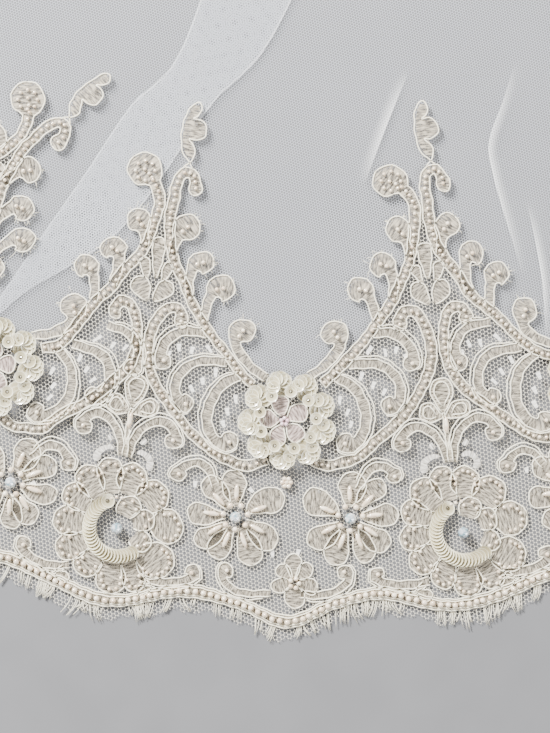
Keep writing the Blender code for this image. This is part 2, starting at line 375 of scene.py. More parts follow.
# The pleat: the net lies folded over on itself in a band that runs up from the left and
# passes under the lace's tip. Its two further layers show as a lighter, watered stripe.
# Columns: x and height over the hem of its left edge, then of its right edge
PLEAT = (
    (-122.0, 117.0, -120.0, 116.0), (-113.0, 131.0, -106.0, 129.0), (-102.0, 147.6, -88.0, 140.0),
    (-88.8, 167.0, -71.9, 150.6), (-80.0, 180.0, -59.4, 164.5), (-72.5, 192.0, -51.3, 175.9),
    (-62.7, 206.4, -31.1, 206.3), (-42.0, 232.0, -6.0, 236.0), (-15.0, 330.0, 31.0, 330.0),
    (0.0, 450.0, 48.0, 450.0), (5.0, 540.0, 45.0, 540.0), (8.0, 620.0, 36.0, 620.0),
    (16.0, 710.0, 22.0, 710.0),
)
PLEAT_ROWS, PLEAT_COLUMNS = 90, 5
# The net's top face: metres over the hem, and its level in mm
NET_TOP = ((0.0, 1.05), (0.44, 1.1), (0.53, 2.7), (0.62, 5.0), (0.71, 7.4))


def over_hem(places):
    """World places from x and height over the hem's lowest point, both in mm."""
    return np.asarray(places) * MM + (middle_x, hem_low)


def on_net(plan, lift):
    """The places in plan, lying on the net, which rises towards the gathers."""
    heights, levels = np.array(NET_TOP).T
    top = np.interp(plan[..., 1] - hem_low, heights, levels * MM)
    return np.concatenate([plan, (top + lift)[..., None]], axis=-1)


edges = over_hem(np.array(PLEAT).reshape(-1, 2, 2)).transpose(1, 0, 2)
curve, lengths = curve_through(edges)
edges = along_curve(curve, lengths, np.linspace(0, lengths[-1], PLEAT_ROWS))
share = np.linspace(0, 1, PLEAT_COLUMNS)[:, None]
pleat = edges[0][:, None] * (1 - share) + edges[1][:, None] * share
pleat_layers = [
    mesh_piece(
        name, on_net(pleat, lift).reshape(-1, 3), [grid_faces(PLEAT_ROWS, PLEAT_COLUMNS)[:, ::-1]],
        net_finish(name + "_net", NET_COLOUR, NET_PITCH, turn, -0.88, 0.75), "tulle_body",
    )
    for name, lift, turn in (("pleat_low", 0.3 * MM, 0.37), ("pleat_high", 0.6 * MM, 0.05))
]


# The creases: soft lines where the net was folded, and the pleat's two folded edges. The
# threads close up along one side of each and open out again on the other.
CREASE_TONE = (0.93, 0.93, 0.92)
CREASE_LIFT = 0.75 * MM
CREASE_ROWS, CREASE_COLUMNS = 60, 5
# Each has its places, as x and height over the hem in mm, and its width to the right in mm
CREASES = (
    (((89, 224), (84.5, 208.7), (78.9, 191.4), (81, 178), (84.6, 165.5), (89.7, 149.6), (93, 138)), -4.5),
    (((94, 168), (97.7, 153.8), (101, 135), (102.5, 114)), -4.0),
    (((47, 220), (41.7, 207), (36, 192), (29.5, 174)), 5.0),
    (((120, 240), (112, 215), (116, 190), (126, 170)), -5.0),
)


def joined(parts):
    """One vertex array and one list of face arrays out of several."""
    vertices, faces, start = [], [], 0
    for points, sets in parts:
        vertices.append(points)
        faces += [corners + start for corners in sets]
        start += len(points)
    return np.concatenate(vertices), faces


along, across = np.linspace(0, 1, CREASE_ROWS), np.linspace(0, 1, CREASE_COLUMNS)
crease_uv = np.stack(np.meshgrid(along, across, indexing="ij"), axis=-1).reshape(-1, 2)
quads = grid_faces(CREASE_ROWS, CREASE_COLUMNS)
lines = [(over_hem(places)[None], width * MM) for places, width in CREASES]
lines += [(edges[:1], 1.1 * MM), (edges[1:], -1.1 * MM)]
strips = []
for places, width in lines:
    curve, lengths = curve_through(places)
    line = along_curve(curve, lengths, np.linspace(0, lengths[-1], CREASE_ROWS))[0]
    run = np.gradient(line, axis=0)
    side = np.stack([run[:, 1], -run[:, 0]], axis=-1)
    side /= np.linalg.norm(side, axis=-1, keepdims=True)
    strip = line[:, None] + side[:, None] * width * across[:, None]
    upward = quads if width > 0 else quads[:, ::-1]
    strips.append((on_net(strip, CREASE_LIFT).reshape(-1, 3), [upward]))
crease_finish, tree, shader = finish("creased_net", CREASE_TONE, 0.7, Sheen_Weight=0.4)
along, across = node(tree, "SeparateXYZ", "X", {0: node(tree, "UVMap", "UV", {})}).node.outputs[:2]
fade = math_node(tree, "POWER", math_node(tree, "SUBTRACT", 1.0, across), 1.6)
ends = math_node(tree, "SINE", math_node(tree, "MULTIPLY", along, math.pi))
threads = math_node(tree, "MULTIPLY", net_cover(tree, NET_PITCH, NET_TURN, -0.4), 0.45)
alpha = math_node(tree, "MULTIPLY", fade, ends)
alpha = math_node(tree, "MULTIPLY", alpha, math_node(tree, "ADD", threads, 0.4))
tree.links.new(alpha, shader.inputs["Alpha"])
creases = mesh_piece(
    "net_creases", *joined(strips), crease_finish, "tulle_body", np.tile(crease_uv, (len(lines), 1)),
)


# The lace's ground: a coarser hexagonal net that fills the border between the motifs. All
# of them are worked on it, and its lower edge is the scalloped hem.
GROUND_COLOUR = (0.56, 0.52, 0.43)
GROUND_PITCH = 1.6 * MM
GROUND_COLUMNS, GROUND_ROWS = 33, 25
SCALLOP_DEPTH = 7 * MM
HEM_POINT = 3.2 * MM
HEM_POINT_WIDTH = 0.08


def hem_heights(repeats):
    """The scalloped hem: two shallow lobes in each repeat, and a point on each valley."""
    away = abs(repeats - np.round(repeats))
    point = HEM_POINT * np.exp(-(away / HEM_POINT_WIDTH) ** 2)
    point *= abs(repeats) < HALF_REPEATS - 0.4
    return SCALLOP_DEPTH * np.sin(2 * math.pi * repeats) ** 2 - point


curve, lengths = curve_through(upper_edge)
top = along_curve(curve, lengths, np.linspace(0, lengths[-1], GROUND_COLUMNS))
repeats = peaks[:, None] + sides[:, None] * np.linspace(0, 0.5, GROUND_COLUMNS)
low = veil_points(repeats, hem_heights(repeats))
rise = np.linspace(0, 1, GROUND_ROWS)[None, None, :, None]
plan = low[:, :, None] * (1 - rise) + top[:, :, None, :2] * rise
level = np.broadcast_to(lace_level(rise * 100 * MM), plan.shape[:3] + (1,))
ground = np.concatenate([plan, level], axis=-1)
quads = grid_faces(GROUND_COLUMNS, GROUND_ROWS)
faces = [
    (quads if side > 0 else quads[:, ::-1]) + k * GROUND_COLUMNS * GROUND_ROWS
    for k, side in enumerate(sides)
]
ground_net = mesh_piece(
    "lace_ground", ground.reshape(-1, 3), [np.concatenate(faces)],
    net_finish("ground_net", GROUND_COLOUR, GROUND_PITCH, 0.1, -1.03), "lace_border",
)
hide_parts("lace_border")


# The pearled channels: bands of close cloth work, edged with a hard white cord on each
# side and with a row of seed pearls down the middle. Two rise to each peak's tip as its
# stems, and two more run from under them round the sequin flowers.
CORD_TONES = ((0.88, 0.80, 0.60), (0.98, 0.93, 0.76))
CLOTH_TONES = ((0.10, 0.08, 0.055), (0.54, 0.475, 0.36))
PEARL_TONES = ((0.74, 0.57, 0.40), (0.97, 0.86, 0.68))
CORD = 0.34 * MM
SEED_PEARL = 0.8 * MM
BULB_RING = 3.9 * MM
CLOTH_LIFT = np.array((0, 0, 0.15 * MM))
PEARL_LIFT = np.array((0, 0, 0.7 * MM))
CHANNEL = (
    [(12.2, 114.5), (13.4, 118.0), (11.0, 121.6), (6.6, 120.4), (3.4, 113.5), (2.6, 104.5),
     (4.6, 95.5), (10.5, 87.0), (19.0, 78.5), (26.5, 73.0)],
    [(28.2, 65.8), (22.3, 63.2), (15.6, 61.6), (8.4, 64.6)],
)


def hand_made(points):
    """The slight unevenness of hand work: sums of long and short waves in plan."""
    x, y = points[..., 0] / MM, points[..., 1] / MM
    shift = np.zeros_like(points)
    shift[..., 0] = 0.42 * np.sin(x / 5.1 + y / 7.7) + 0.17 * np.sin(y / 0.9 + x / 2.3)
    shift[..., 1] = 0.42 * np.sin(y / 5.9 - x / 6.7 + 1) + 0.17 * np.sin(x / 1.0 - y / 2.1)
    return points + shift * MM


def sideways(line):
    """Unit vectors in plan, to the left of lines (count, n, 3)."""
    run = np.gradient(line[..., :2], axis=1)
    run /= np.linalg.norm(run, axis=-1, keepdims=True) + 1e-12
    return np.stack([-run[..., 1], run[..., 0], np.zeros_like(run[..., 0])], axis=-1)


def stations(total, step, start_round, end_round):
    """Distances along a band, even in its middle and closer together on round ends."""
    quarter = 1 - np.cos(np.linspace(0, math.pi / 2, 7))
    head = start_round * quarter if start_round else np.zeros(1)
    tail = total - end_round * quarter[::-1] if end_round else np.full(1, total)
    count = max(2, int((tail[0] - head[-1]) / step) + 1)
    return np.concatenate([head, np.linspace(head[-1], tail[0], count)[1:-1], tail])


def band_widths(distance, total, start, end, start_round, end_round, swell):
    """Half widths of a band: from start to end width, by its length or, on a petal, by a
    quarter wave; at a round end they follow a circle of that end's radius."""
    share = distance / total
    if swell:
        share = np.sin(math.pi / 2 * np.clip(distance / (total - end_round), 0, 1))
    width = start + (end - start) * share
    for from_end, radius in ((distance, start_round), (total - distance, end_round)):
        circle = np.sqrt(np.clip(radius ** 2 - (from_end - radius) ** 2, 0, None))
        circle = np.where(from_end < 2 * radius, circle, 0)
        width = np.where(from_end < radius, circle, np.maximum(width, circle))
    return width


def sew_band(work, points, start, end, start_round=0, end_round=0, swell=False, pearls=0,
             bulb_pearls=(), step=1.3 * MM, lift=0.0, second=0.0):
    """Adds a band through control points: its cloth, its cord, and pearls that many mm
    apart or at shares of its round end's radius. A second cord leaves the first on the
    outside of the bend by up to that many mm."""
    curve, lengths = curve_through(points)
    total = lengths[-1]
    start, end, start_round, end_round = (v * MM for v in (start, end, start_round, end_round))
    distance = stations(total, step, start_round, end_round)
    line = along_curve(curve, lengths, distance) + (0, 0, lift * MM)
    width = band_widths(distance, total, start, end, start_round, end_round, swell)
    across = sideways(line) * width[:, None]
    left, right = hand_made(line + across), hand_made(line - across)
    work["cords"].append(np.concatenate([right, left[:, ::-1]], axis=1))
    middle = (left + right) / 2
    work["cloth"].append(np.stack([right, middle, left], axis=2))
    work["runs"].append((distance, width))
    if second:
        run = np.diff(line[:, [0, len(distance) // 2, -1], :2], axis=1)
        bend = np.sign(run[:, 0, 0] * run[:, 1, 1] - run[:, 0, 1] * run[:, 1, 0])[:, None, None]
        gap = width + second * MM * np.sin(math.pi * distance / total) ** 0.7
        work["cords"].append(hand_made(line - bend * sideways(line) * gap[:, None])[:, 2:-4])
    for share in bulb_pearls:
        place = along_curve(curve, lengths, np.array([total - share * end_round]))
        work["pearls"].append(place.reshape(-1, 3))
    if pearls:
        inner = start_round if start_round else pearls * MM / 2
        outer = total - (end_round if end_round else pearls * MM / 2)
        count = int((outer - inner) / (pearls * MM)) + 1
        place = along_curve(curve, lengths, np.linspace(inner, outer, count))
        work["pearls"].append(hand_made(place + (0, 0, lift * MM)).reshape(-1, 3))


def new_work():
    return {"cords": [], "cloth": [], "runs": [], "pearls": []}


def tubes(lines, radius, sides=4, closed=False):
    """Vertices and faces of tubes: a ring of corners square to each line at each point."""
    out = sideways(lines)[:, :, None]
    angle = 2 * math.pi * (np.arange(sides) + 0.5) / sides
    ring = np.cos(angle)[:, None] * out + np.sin(angle)[:, None] * np.array([0, 0, 1])
    vertices = lines[:, :, None] + radius * ring
    index = np.arange(vertices[..., 0].size).reshape(vertices.shape[:3])
    if closed:
        index = np.concatenate([index, index[:, :1]], axis=1)
    turned = np.roll(index, -1, axis=2)
    quads = np.stack([index[:, :-1], turned[:, :-1], turned[:, 1:], index[:, 1:]], axis=-1)
    faces = [quads.reshape(-1, 4)]
    if not closed:
        caps = np.concatenate([index[:, 0, ::-1], index[:, -1]])
        faces.append(caps)
    return vertices.reshape(-1, 3), faces


def cords_piece(name, lines, lift=0.25 * MM, radius=CORD, closed=False):
    """The hard cord laid and sewn down along each of the lines."""
    parts = [tubes(line + (0, 0, lift), radius, closed=closed) for line in lines]
    return mesh_piece(name, *joined(parts), cord_finish, "lace_border")


def copies(faces, count, size):
    """Faces of one shape with size points, repeated for that many copies of it."""
    starts = np.arange(count)[:, None, None] * size
    return (faces + starts).reshape(-1, faces.shape[1])


def cloth_piece(name, work, material=None):
    """Bands of cloth work; the UV map runs along each band and across it, in metres."""
    parts, uvs = [], []
    for skin, (distance, width) in zip(work["cloth"], work["runs"]):
        count, rows, columns = skin.shape[:3]
        quads = copies(grid_faces(rows, columns), count, rows * columns)
        parts.append(((skin + CLOTH_LIFT).reshape(-1, 3), [quads]))
        along = np.broadcast_to(distance[:, None], (rows, columns))
        across = width[:, None] * np.linspace(-1, 1, columns)
        uvs.append(np.tile(np.stack([along, across], axis=-1).reshape(-1, 2), (count, 1)))
    return mesh_piece(name, *joined(parts), material or cloth_finish, "lace_border", np.concatenate(uvs))


def sewn_pieces(name, work, material=None):
    """The cords and the cloth of one kind of motif, as two pieces."""
    cords_piece(name + "_cords", work["cords"])
    cloth_piece(name + "_cloth", work, material)


def bead(segments, rings):
    """Unit ball: circles of latitude between two poles; points, triangles and quads."""
    angle = np.arange(segments) * 2 * math.pi / segments
    tilt = math.pi * np.arange(1, rings) / rings
    circle = np.stack([np.cos(angle), np.sin(angle)], axis=-1)
    rows = [np.c_[math.sin(t) * circle, np.full(segments, math.cos(t))] for t in tilt]
    points = np.concatenate([[(0, 0, 1)], *rows, [(0, 0, -1)]])
    index = 1 + np.arange((rings - 1) * segments).reshape(rings - 1, segments)
    turned = np.roll(index, -1, axis=1)
    cap = np.full(segments, 0)
    foot = np.full(segments, len(points) - 1)
    triangles = np.concatenate([np.c_[cap, index[0], turned[0]], np.c_[foot, turned[-1], index[-1]]])
    quads = np.stack([index[:-1], index[1:], turned[1:], turned[:-1]], axis=-1).reshape(-1, 4)
    return points, triangles, quads


def beads_piece(name, centres, radius, material, segments=6, rings=4):
    """Balls at the centres, joined in one mesh."""
    points, triangles, quads = bead(segments, rings)
    vertices = centres[:, None] + points * radius
    faces = [copies(corners, len(centres), len(points)) for corners in (triangles, quads)]
    return mesh_piece(name, vertices.reshape(-1, 3), faces, material, "lace_border")


def toned(name, tones, roughness, scale, relief=0.0, stretch=(1, 1, 1), coordinates="Object", **sockets):
    """A material whose colour drifts between two tones, with a little relief, by one
    noise; the stretch draws the noise out into threads."""
    material, tree, shader = finish(name, tones[0], roughness, **sockets)
    place = node(tree, "TexCoord", coordinates, {})
    drawn = node(tree, "VectorMath", "Vector", {0: place, 1: stretch}, "MULTIPLY")
    noise = node(tree, "TexNoise", "Fac", {"Vector": drawn, "Scale": scale, "Detail": 1.5})
    ramp = node(tree, "ValToRGB", "Color", {"Fac": noise})
    for element, position, tone in zip(ramp.node.color_ramp.elements, (0.35, 0.65), tones):
        element.position = position
        element.color = (*tone, 1)
    tree.links.new(ramp, shader.inputs["Base Color"])
    if relief:
        bump = node(tree, "Bump", "Normal", {"Distance": relief, "Height": noise})
        tree.links.new(bump, shader.inputs["Normal"])
    return material


def cloth_work(name, tones, thin, close):
    """Close cloth work: fine threads along each band, and part clear between them."""
    material = toned(name, tones, 0.7, 1.0, 0.2 * MM, (1500, 320, 1), "UV", Sheen_Weight=0.2)
    tree = material.node_tree
    thread = next(made for made in tree.nodes if made.type == "TEX_NOISE").outputs["Fac"]
    limits = {"From Min": 0.34, "From Max": 0.60, "To Min": thin, "To Max": close, "Value": thread}
    cover = node(tree, "MapRange", "Result", limits)
    tree.links.new(cover, tree.nodes["Principled BSDF"].inputs["Alpha"])
    return material


cord_finish = toned("hard_cord", CORD_TONES, 0.5, 1400, 0.2 * MM, Sheen_Weight=0.3)
cloth_finish = cloth_work("cloth_work", CLOTH_TONES, 0.35, 0.92)
pearl_finish = toned("seed_pearl", PEARL_TONES, 0.2, 450, Coat_Weight=1.0, Coat_Roughness=0.06)

channels = new_work()
# The left stem ends in a wide pearled bulb and the right one in a hook, at every peak
left, right = sides < 0, sides > 0
stem = [(2.7, 164.0)] + STEM_TOP
bulb = half_repeat_line([(15.6, 178.6), (11.0, 174.6), (6.2, 170.6)] + stem, STEM_FOOT)[left]
hook = [(9.8, 167.2), (10.4, 171.4), (8.4, 176.0), (4.6, 175.8), (2.4, 171.0)]
hook = half_repeat_line(hook + stem, STEM_FOOT)[right]
sew_band(channels, bulb, 2.1, 1.9, start_round=6.4, pearls=2.5)
sew_band(channels, hook, 2.1, 1.9, start_round=3.0, pearls=2.5)
sew_band(channels, half_repeat_line(*CHANNEL), 2.1, 2.0, start_round=2.7, pearls=2.6)
bulb_middle = half_repeat_line([(10.4, 174.0)])[left][:, 0]
for angle in np.radians(np.arange(0, 360, 45)):
    channels["pearls"].append(bulb_middle + (BULB_RING * np.cos(angle), BULB_RING * np.sin(angle), 0))
sewn_pieces("channel", channels)
beads_piece("channel_pearls", np.concatenate(channels["pearls"]) + PEARL_LIFT, SEED_PEARL, pearl_finish)


# The curls and scrolls: tapering bands with a round end, of the same cloth and cord. The
# curls stand on the outside of the stems, over the fine net; the scrolls fill the ground.
CURL_PEARL = 0.9 * MM
CURLS = (
    ([(6.0, 143.0), (6.6, 148.0), (8.6, 153.0), (13.4, 157.6)], [], 5.0),
    ([(15.5, 127.0), (14.4, 133.5), (16.0, 140.5), (22.6, 142.4)], [], 4.7),
    ([(22.5, 119.0), (23.0, 125.5), (25.6, 132.0), (32.4, 133.0)], [], 4.9),
    ([], [(8.0, 97.0), (15.5, 102.0), (20.6, 110.0), (15.4, 119.0)], 5.0),
)
SCROLLS = (
    ([(1.4, 60.0), (2.8, 66.6), (6.4, 73.0), (12.4, 76.2), (18.0, 73.0), (17.6, 66.8)], [], 2.9, 1.9),
    ([(14.5, 14.0), (21.0, 13.2), (28.5, 13.8), (34.2, 17.0), (32.6, 21.6)], [], 2.8, 1.9),
    ([(16.5, 13.0), (18.5, 9.8), (13.5, 8.2)], [], 1.9, 1.4),
    ([], [(33.0, 114.4), (41.6, 115.0), (47.8, 111.2), (50.2, 105.6), (48.0, 100.2)], 3.0, 2.1),
    ([], [(24.4, 102.2), (34.9, 103.0), (41.2, 99.6), (44.6, 93.4), (43.4, 87.0), (37.2, 85.2)], 3.2, 2.2),
    (
        [], [(18.8, 97.6), (26.4, 93.8), (30.4, 87.0), (31.7, 80.0), (29.8, 73.6), (25.6, 70.2),
             (19.6, 72.4)], 3.6, 2.3,
    ),
    ([], [(28.6, 53.0), (32.0, 60.0), (37.2, 62.4), (42.6, 59.6), (42.8, 54.8)], 2.8, 1.9),
    ([], [(6.2, 10.4), (13.5, 10.4), (20.4, 12.4), (24.8, 17.2), (21.4, 21.6)], 2.6, 1.7),
)
curls = new_work()
for points, valley, bulb in CURLS:
    sew_band(curls, half_repeat_line(points, valley), 1.6, 2.4, end_round=bulb, bulb_pearls=(0.9, 1.45))
for points, valley, bulb, width in SCROLLS:
    # All but the smallest have a pearl in their bulb and a second cord
    pearl, second = ((0.95,), 1.5) if bulb > 2.5 else ((), 0)
    line = half_repeat_line(points, valley)
    sew_band(curls, line, width * 0.75, width, end_round=bulb + 0.4, bulb_pearls=pearl, second=second)
sewn_pieces("curl", curls)
beads_piece("curl_pearls", np.concatenate(curls["pearls"]) + PEARL_LIFT, CURL_PEARL, pearl_finish, 8, 5)


# The trimmed ends: short threads of the ground net, left standing out from the curls'
# cords where the lace was cut out along them.
rng = np.random.default_rng(3)
ends = []
for line in curls["cords"][:len(CURLS)]:
    reach = len(line[0])
    at = rng.integers(int(reach * 0.30), int(reach * 0.62), (len(line), 9))
    root = np.take_along_axis(line, at[..., None], axis=1).reshape(-1, 3)
    away = np.take_along_axis(-sideways(line), at[..., None], axis=1).reshape(-1, 3)
    lean = rng.normal(0, 0.55, root.shape) * (1, 1, 0)
    length = rng.uniform(0.7, 2.4, (len(root), 1)) * MM
    middle = root + (away + lean * 0.4) * length * 0.6
    ends.append(np.stack([root, middle, middle + (away * 0.5 + lean) * length * 0.5], axis=1))
ends = tubes(np.concatenate(ends) + (0, 0, 0.2 * MM), 0.1 * MM, sides=3)
mesh_piece("trimmed_threads", *ends, cord_finish, "lace_border")


# The small leaf forms: an outline of cord round thin cloth. Each peak has a leafy sprig
# between its stems, a looped tip on top and, over its rose, a stalk with three leaves.
def around(centre, turn, x, y):
    """Places x, y mm from motif centres (m, 3) whose own x axis is turned by turn (m,)."""
    c, s = np.cos(turn), np.sin(turn)
    return centre + np.stack([x * c - y * s, x * s + y * c, np.zeros_like(c)], axis=-1) * MM


def spoke(centre, turn, angle, radius):
    """Places at an angle in degrees and a radius in mm from motif centres."""
    a = np.radians(angle)
    return around(centre, turn, radius * np.cos(a), radius * np.sin(a))


def ray(centre, turn, angle, start, end, bend=0.0):
    """Control points outwards from a motif's centre, from start to end mm at an angle in
    degrees; bend moves the middle sideways."""
    a = math.radians(angle)
    places = ((start, 0), ((start + end) / 2, bend), (end, 0))
    return np.stack([
        around(centre, turn, r * math.cos(a) - b * math.sin(a), r * math.sin(a) + b * math.cos(a))
        for r, b in places
    ], axis=1)


def motif(axes, x, y):
    """Centres x mm along and y mm up from each axis, and the axis's own turn."""
    return near(axes, x, y), np.arctan2(axes[1][:, 1], axes[1][:, 0])


def sew_petal(work, centre, turn, angle, start, end, foot, radius, bend=0.0, lift=0.0):
    """A band outwards from a motif's centre that widens like a petal to a round end."""
    line = ray(centre, turn, angle, start, end, bend)
    sew_band(work, line, foot, radius, end_round=radius, swell=True, lift=lift)


peak_axes = axis_frames(np.arange(-HALF_REPEATS, HALF_REPEATS) + 0.5)
# Columns: angle in degrees, start and end from the motif's middle and radius in mm
SPRIG = (
    (90, 11, 26.5, 2.7), (55, 2, 12.0, 3.5), (125, 2, 12.0, 3.5), (73, 10.5, 18.4, 2.0),
    (107, 10.5, 18.4, 2.0),
)
STALK_LEAVES = ((90, 2.5, 15.6, 4.3), (155, 1.0, 10.8, 3.9), (25, 1.0, 10.8, 3.9))
leaves, inner = new_work(), new_work()
sprig = motif(peak_axes, 0, 122)
for angle, start, end, radius in SPRIG:
    sew_petal(leaves, *sprig, angle, start, end, 0.5, radius)
stalk = motif(peak_axes, 0, 78)
for angle, start, end, radius in STALK_LEAVES:
    sew_petal(leaves, *stalk, angle, start, end, 0.5, radius)
    sew_petal(inner, *stalk, angle, start + 2.6, end - 1.4, 0.4, radius - 1.4)
# The stalk's leaves have an inner line of cord, without cloth of its own
leaves["cords"] += inner["cords"]
sew_band(leaves, ray(*stalk, -90, 18.0, -2.0), 1.1, 0.5)
# The tip is one loop of cord with two lobes on its right, round thin cloth
TIP_CORD = (
    (8.4, 178.4), (6.6, 180.4), (3.6, 183.6), (2.0, 189.0), (2.0, 196.0), (3.2, 201.4), (5.8, 203.8),
    (7.6, 201.4), (6.6, 198.4), (5.0, 197.0), (8.0, 197.2), (10.6, 195.0), (10.8, 191.6),
    (8.2, 189.4), (5.2, 189.6), (7.0, 187.4), (8.4, 184.2), (6.8, 180.6), (4.2, 178.0),
)
# Columns: mm up the peak axis, then the cloth's two edges in mm from it
TIP_CLOTH = (
    (182.0, 5.4, 7.4), (184.4, 3.6, 8.1), (187.0, 2.6, 7.0), (189.4, 2.1, 6.0), (190.4, 2.0, 9.8),
    (193.0, 2.0, 11.0), (195.8, 2.1, 10.0), (197.2, 2.3, 7.0), (198.4, 2.6, 6.4), (201.0, 3.2, 7.4),
    (203.2, 4.8, 6.6),
)
tip_points = np.stack([near(peak_axes, x, y) for x, y in TIP_CORD], axis=1)
curve, lengths = curve_through(tip_points)
tip_cord = along_curve(curve, lengths, np.arange(0, lengths[-1], 0.7 * MM))
leaves["cloth"].append(np.stack([
    np.stack([near(peak_axes, x, y) for x in (low, (low + high) / 2, high)], axis=1)
    for y, low, high in TIP_CLOTH
], axis=1))
y, low, high = np.array(TIP_CLOTH).T * MM
leaves["runs"].append((y, (high - low) / 2))
leaves["cords"].append(hand_made(tip_cord))
sewn_pieces("leaf", leaves)


# The small fillings of the ground: patches of cloth without a cord, and short white tabs
# where the threads were carried from one form to the next.
PATCH_TONES = ((0.42, 0.39, 0.33), (0.86, 0.82, 0.74))
TAB_TONES = ((0.80, 0.76, 0.68), (0.95, 0.93, 0.86))
PATCHES = (
    ([(4.8, 62.2), (7.6, 62.8), (10.8, 60.4), (10.6, 56.6)], 1.5), ([(6.4, 67.4), (8.0, 66.4)], 1.4),
)
# Columns: x and y from the valley axis in mm, angle in degrees, length in mm
TABS = (
    (43.4, 108.6, 80, 2.8), (38.6, 107.6, 95, 2.8), (31.9, 108.0, 60, 3.6), (29.2, 98.2, 85, 3.4),
    (33.9, 94.6, 75, 3.2), (38.0, 91.6, 60, 3.0), (21.0, 88.4, 80, 3.4), (24.0, 83.4, 75, 3.0),
    (25.2, 78.4, 70, 3.0), (47.2, 106.0, 100, 2.4), (36.6, 53.6, 95, 2.4), (33.2, 44.4, 60, 2.4),
    (13.6, 52.0, 40, 2.4), (5.4, 27.0, 80, 2.6),
)
patches, tabs = new_work(), new_work()
for points, width in PATCHES:
    sew_band(patches, half_repeat_line(points), width * 0.6, width, start_round=0.6, end_round=width)
for x, y, angle, length in TABS:
    reach, rise = length / 2 * math.cos(math.radians(angle)), length / 2 * math.sin(math.radians(angle))
    line = half_repeat_line([], [(x - reach, y - rise), (x + reach, y + rise)])
    sew_band(tabs, line, 0.55, 0.8, step=0.8 * MM)
cloth_piece("ground_patches", patches, cloth_work("patch_work", PATCH_TONES, 0.7, 1.0))
cloth_piece("white_tabs", tabs, cloth_work("tab_work", TAB_TONES, 0.75, 1.0))


# The roses: twelve outer petals edged with pearls, an inner ring of pearled petals on one
# side and a crescent of sequins sewn on edge on the other, round an open centre.
# Columns: angle in degrees, mm out to the middle of the round end, and its radius in mm
ROSE_PETALS = (
    (84, 19.5, 6.3), (51, 18.0, 7.0), (10, 19.8, 6.6), (-32, 20.5, 7.4), (-62, 22.3, 4.9),
    (-87, 21.2, 5.9), (-117, 19.6, 5.3), (-146, 20.4, 5.7), (-175, 20.2, 5.7), (157, 20.8, 5.3),
    (132, 21.4, 5.6), (109, 22.0, 4.9),
)
INNER_PETALS = ((70, 8.8, 4.6), (20, 10.2, 4.4), (-24, 11.4, 4.0))
INNER_LIFT = 0.3
SEQUIN_TONES = ((0.74, 0.68, 0.48), (0.95, 0.90, 0.70))
SEQUIN = 2.9 * MM


def edge_pearls(centre, turn, angle, middle, radius, reach=105):
    """Pearls in an arc round the outer side of a petal."""
    inner = radius - 1.9
    count = max(3, int(math.radians(2 * reach) * inner / (SEED_PEARL / MM * 2.5)))
    a = np.radians(angle + np.linspace(-reach, reach, count))
    x = middle * math.cos(math.radians(angle)) + inner * np.cos(a)
    y = middle * math.sin(math.radians(angle)) + inner * np.sin(a)
    return np.concatenate([around(centre, turn, px, py) for px, py in zip(x, y)])


rose_centre, rose_turn = motif(peak_axes, 1.8, 32.6)
rose_turn = rose_turn + 0.06 * np.sin(7.0 * np.arange(len(rose_turn)))
rose = (rose_centre, rose_turn)
roses = new_work()
rose_pearls = []
for angle, middle, radius in ROSE_PETALS:
    sew_petal(roses, *rose, angle, 13.0, middle + radius, 2.2, radius)
    rose_pearls.append(edge_pearls(*rose, angle, middle, radius))
for angle, middle, radius in INNER_PETALS:
    sew_petal(roses, *rose, angle, middle - radius + 0.6, middle + radius, 2.8, radius, lift=INNER_LIFT)
    rose_pearls.append(edge_pearls(*rose, angle, middle, radius, 80) + (0, 0, INNER_LIFT * MM))
rose_pearls += [spoke(*rose, angle, 11.6) for angle in np.linspace(92, 132, 5)]
sewn_pieces("rose", roses)
rose_pearls = hand_made(np.concatenate(rose_pearls)) + PEARL_LIFT
beads_piece("rose_pearls", rose_pearls, SEED_PEARL, pearl_finish)


def sequin(segments=12):
    """Unit sequin: a shallow cup with a hole, as rings of points, the rim a little up."""
    angle = np.arange(segments) * 2 * math.pi / segments
    circle = np.stack([np.cos(angle), np.sin(angle)], axis=-1)
    rings = [np.c_[r * circle, np.full(segments, z)] for r, z in ((0.17, 0.0), (0.68, 0.02), (1.0, 0.16))]
    index = np.arange(3 * segments).reshape(3, segments)
    turned = np.roll(index, -1, axis=1)
    quads = np.stack([index[:-1], index[1:], turned[1:], turned[:-1]], axis=-1).reshape(-1, 4)
    return np.concatenate(rings), quads


def turned_copies(points, centres, headings):
    """Copies of points at the centres, each turned about Z to its heading."""
    h, k = np.cos(headings)[:, None], np.sin(headings)[:, None]
    x, y, z = np.moveaxis(np.broadcast_to(points, (len(centres),) + points.shape[-2:]), -1, 0)
    return centres[:, None] + np.stack([x * h - y * k, x * k + y * h, z], axis=-1)


def sequins_piece(name, centres, radii, tilts, headings):
    """Sequins at the centres, each tilted by its tilt towards its heading in plan. The UV map gives how far
    out on its sequin a point is, which places the sequin finish's painted shade and rim highlight."""
    points, quads = sequin()
    flat = points[None] * radii[:, None, None]
    c, s = np.cos(tilts)[:, None], np.sin(tilts)[:, None]
    x, y, z = np.moveaxis(flat, -1, 0)
    vertices = turned_copies(np.stack([x * c + z * s, y, z * c - x * s], axis=-1), centres, headings)
    uv = np.tile(np.c_[np.linalg.norm(points[:, :2], axis=1), points[:, 2]], (len(centres), 1))
    faces = [copies(quads, len(centres), len(points))]
    return mesh_piece(name, vertices.reshape(-1, 3), faces, sequin_finish, "lace_border", uv)


sequin_finish = toned("pearly_sequin", SEQUIN_TONES, 0.28, 240, Coat_Weight=0.7, Coat_Roughness=0.08)
